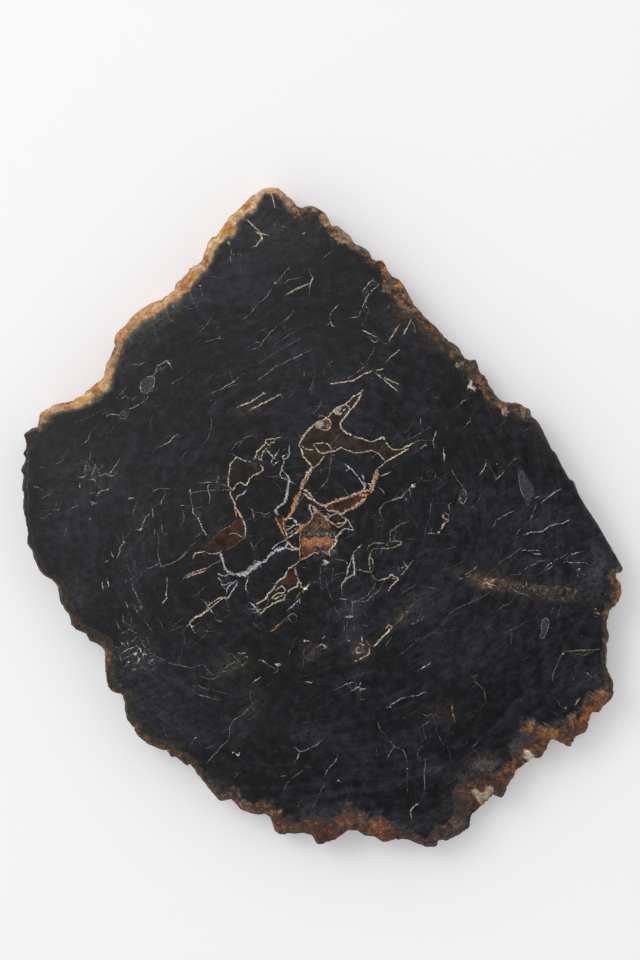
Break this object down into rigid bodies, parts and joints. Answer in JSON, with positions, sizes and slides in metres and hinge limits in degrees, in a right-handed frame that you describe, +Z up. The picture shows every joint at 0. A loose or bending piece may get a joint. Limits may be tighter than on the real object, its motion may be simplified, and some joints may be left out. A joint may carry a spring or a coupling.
{
  "type": "petrified wood cheese board",
  "caption": "Flat slice of black petrified wood with pale mineral veins, a crystal-lined hollow near its heart and a rough ochre bark edge, for serving cheese.",
  "frame": {"origin": "middle of the underside, on the surface that the board lies on", "axes": "+Z up out of the served-on face, +Y towards the slice's sharp end, +X towards its straight broken edge"},
  "size_m": [0.301, 0.3299, 0.02],
  "materials": {
    "stone": "honed"
  },
  "bodies": {
    "root": {"slab": "stone"}
  },
  "joints": []
}
